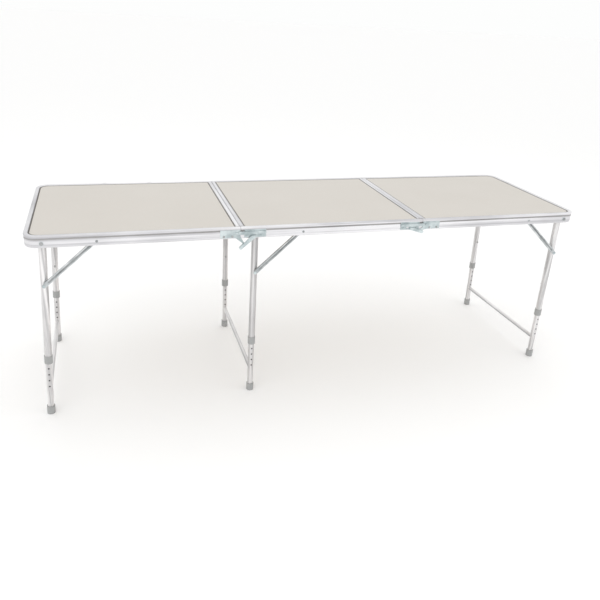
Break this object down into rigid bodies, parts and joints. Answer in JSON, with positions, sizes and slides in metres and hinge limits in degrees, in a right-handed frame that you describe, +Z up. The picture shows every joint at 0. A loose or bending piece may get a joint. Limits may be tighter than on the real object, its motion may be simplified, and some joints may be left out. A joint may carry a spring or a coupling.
{
  "type": "folding table",
  "caption": "Long folding table with board panels in aluminium rails, hinged at the seams, on fold-away tube legs with stays and sliding lower tubes.",
  "frame": {"origin": "on the floor under the centre of the table top", "axes": "+X along the table, +Y towards the rail with the handle, +Z up"},
  "size_m": [2.1128, 0.6164, 0.7],
  "materials": {
    "board": "matt laminate over board",
    "rail": "satin anodised",
    "tube": "satin anodised",
    "steel": "zinc plated",
    "grey_plastic": "moulded",
    "dark_plastic": "moulded"
  },
  "bodies": {
    "middle_panel": {"panel_2_board": "board", "panel_2_front_rail": "rail", "panel_2_rear_rail": "rail", "panel_2_left_seam_rail": "rail", "panel_2_right_seam_rail": "rail", "seam_1_inner_leaves": "steel", "seam_1_inner_fixings": "steel", "seam_2_inner_leaves": "steel", "seam_2_inner_fixings": "steel", "leg_2_rail_rivets": "steel"},
    "left_panel": {"panel_1_board": "board", "panel_1_edge_frame": "rail", "panel_1_seam_rail": "rail", "seam_1_outer_leaves": "steel", "seam_1_outer_fixings": "steel", "leg_1_rail_rivets": "steel", "handle_brackets": "dark_plastic"},
    "right_panel": {"panel_3_board": "board", "panel_3_edge_frame": "rail", "panel_3_seam_rail": "rail", "seam_2_outer_leaves": "steel", "seam_2_outer_fixings": "steel", "leg_3_rail_rivets": "steel"},
    "left_links": {"seam_1_links": "steel"},
    "right_links": {"seam_2_links": "steel"},
    "handle": {"handle_grip": "dark_plastic"},
    "leg_1_frame": {"leg_1_upper_tubes": "tube", "leg_1_collars": "grey_plastic", "leg_1_stay_rivets": "steel"},
    "leg_1_lower": {"leg_1_lower_tubes": "tube", "leg_1_feet": "grey_plastic", "leg_1_cross_bar": "tube"},
    "leg_1_stay": {"leg_1_stays": "steel"},
    "leg_1_front_button_body": {"leg_1_front_button": "grey_plastic"},
    "leg_1_rear_button_body": {"leg_1_rear_button": "grey_plastic"},
    "leg_2_frame": {"leg_2_upper_tubes": "tube", "leg_2_collars": "grey_plastic", "leg_2_stay_rivets": "steel"},
    "leg_2_lower": {"leg_2_lower_tubes": "tube", "leg_2_feet": "grey_plastic", "leg_2_cross_bar": "tube"},
    "leg_2_stay": {"leg_2_stays": "steel"},
    "leg_2_front_button_body": {"leg_2_front_button": "grey_plastic"},
    "leg_2_rear_button_body": {"leg_2_rear_button": "grey_plastic"},
    "leg_3_frame": {"leg_3_upper_tubes": "tube", "leg_3_collars": "grey_plastic", "leg_3_stay_rivets": "steel"},
    "leg_3_lower": {"leg_3_lower_tubes": "tube", "leg_3_feet": "grey_plastic", "leg_3_cross_bar": "tube"},
    "leg_3_stay": {"leg_3_stays": "steel"},
    "leg_3_front_button_body": {"leg_3_front_button": "grey_plastic"},
    "leg_3_rear_button_body": {"leg_3_rear_button": "grey_plastic"},
    "left_front_lock": {"seam_1_front_lock_lever": "steel"},
    "left_rear_lock": {"seam_1_rear_lock_lever": "steel"},
    "right_front_lock": {"seam_2_front_lock_lever": "steel"},
    "right_rear_lock": {"seam_2_rear_lock_lever": "steel"}
  },
  "joints": [
    {"name": "left_link_fold", "type": "hinge", "parent": "middle_panel", "child": "left_links", "pos_m": [-0.35, 0, 0.627], "axis": [0, -1, 0], "range_deg": [0, 90]},
    {"name": "left_panel_fold", "type": "hinge", "parent": "left_links", "child": "left_panel", "pos_m": [-0.338, 0, 0.639], "axis": [0, -1, 0], "range_deg": [0, 90]},
    {"name": "right_link_fold", "type": "hinge", "parent": "middle_panel", "child": "right_links", "pos_m": [0.35, 0, 0.6535], "axis": [0, 1, 0], "range_deg": [0, 90]},
    {"name": "right_panel_fold", "type": "hinge", "parent": "right_links", "child": "right_panel", "pos_m": [0.344, 0, 0.6595], "axis": [0, 1, 0], "range_deg": [0, 90]},
    {"name": "left_leg_fold", "type": "hinge", "parent": "left_panel", "child": "leg_1_frame", "pos_m": [-0.995, 0, 0.675], "axis": [0, -1, 0], "range_deg": [0, 94]},
    {"name": "left_leg_slide", "type": "slide", "parent": "leg_1_frame", "child": "leg_1_lower", "axis": [0.0698, 0, 0.9976], "range_m": [0, 0.08]},
    {"name": "left_stay_swing", "type": "hinge", "parent": "leg_1_frame", "child": "leg_1_stay", "pos_m": [-1.00581, 0, 0.52038], "axis": [0, 1, 0], "range_deg": [0, 134.85]},
    {"name": "left_front_button_press", "type": "slide", "parent": "leg_1_frame", "child": "leg_1_front_button_body", "axis": [0, -1, 0], "range_m": [0, 0.003], "stiffness_N_per_m": 300, "springref_m": -0.001},
    {"name": "left_rear_button_press", "type": "slide", "parent": "leg_1_frame", "child": "leg_1_rear_button_body", "axis": [0, 1, 0], "range_m": [0, 0.003], "stiffness_N_per_m": 300, "springref_m": -0.001},
    {"name": "middle_leg_fold", "type": "hinge", "parent": "middle_panel", "child": "leg_2_frame", "pos_m": [-0.29, 0, 0.675], "axis": [0, -1, 0], "range_deg": [0, 90]},
    {"name": "middle_leg_slide", "type": "slide", "parent": "leg_2_frame", "child": "leg_2_lower", "axis": [0, 0, 1], "range_m": [0, 0.08]},
    {"name": "middle_stay_swing", "type": "hinge", "parent": "leg_2_frame", "child": "leg_2_stay", "pos_m": [-0.29, 0, 0.52], "axis": [0, 1, 0], "range_deg": [0, 132.7]},
    {"name": "middle_front_button_press", "type": "slide", "parent": "leg_2_frame", "child": "leg_2_front_button_body", "axis": [0, -1, 0], "range_m": [0, 0.003], "stiffness_N_per_m": 300, "springref_m": -0.001},
    {"name": "middle_rear_button_press", "type": "slide", "parent": "leg_2_frame", "child": "leg_2_rear_button_body", "axis": [0, 1, 0], "range_m": [0, 0.003], "stiffness_N_per_m": 300, "springref_m": -0.001},
    {"name": "right_leg_fold", "type": "hinge", "parent": "right_panel", "child": "leg_3_frame", "pos_m": [0.995, 0, 0.675], "axis": [0, 1, 0], "range_deg": [0, 94]},
    {"name": "right_leg_slide", "type": "slide", "parent": "leg_3_frame", "child": "leg_3_lower", "axis": [-0.0698, 0, 0.9976], "range_m": [0, 0.08]},
    {"name": "right_stay_swing", "type": "hinge", "parent": "leg_3_frame", "child": "leg_3_stay", "pos_m": [1.00581, 0, 0.52038], "axis": [0, -1, 0], "range_deg": [0, 134.85]},
    {"name": "right_front_button_press", "type": "slide", "parent": "leg_3_frame", "child": "leg_3_front_button_body", "axis": [0, -1, 0], "range_m": [0, 0.003], "stiffness_N_per_m": 300, "springref_m": -0.001},
    {"name": "right_rear_button_press", "type": "slide", "parent": "leg_3_frame", "child": "leg_3_rear_button_body", "axis": [0, 1, 0], "range_m": [0, 0.003], "stiffness_N_per_m": 300, "springref_m": -0.001},
    {"name": "left_front_lock_lift", "type": "hinge", "parent": "middle_panel", "child": "left_front_lock", "pos_m": [-0.265, 0, 0.681], "axis": [0, 1, 0], "range_deg": [0, 40]},
    {"name": "left_rear_lock_lift", "type": "hinge", "parent": "middle_panel", "child": "left_rear_lock", "pos_m": [-0.265, 0, 0.681], "axis": [0, 1, 0], "range_deg": [0, 40]},
    {"name": "right_front_lock_lift", "type": "hinge", "parent": "middle_panel", "child": "right_front_lock", "pos_m": [0.265, 0, 0.681], "axis": [0, -1, 0], "range_deg": [0, 40]},
    {"name": "right_rear_lock_lift", "type": "hinge", "parent": "middle_panel", "child": "right_rear_lock", "pos_m": [0.265, 0, 0.681], "axis": [0, -1, 0], "range_deg": [0, 40]},
    {"name": "handle_swing", "type": "hinge", "parent": "left_panel", "child": "handle", "pos_m": [-0.7, 0.3042, 0.69], "axis": [1, 0, 0], "range_deg": [0, 90]}
  ],
  "couplings": [
    {"joint": "left_leg_slide", "follows": "left_leg_fold", "m_per_rad": 0.048762},
    {"joint": "left_stay_swing", "follows": "left_leg_fold", "ratio": 1.4346},
    {"joint": "middle_leg_slide", "follows": "middle_leg_fold", "m_per_rad": 0.050929},
    {"joint": "middle_stay_swing", "follows": "middle_leg_fold", "ratio": 1.4744},
    {"joint": "right_leg_slide", "follows": "right_leg_fold", "m_per_rad": 0.048762},
    {"joint": "right_stay_swing", "follows": "right_leg_fold", "ratio": 1.4346}
  ]
}
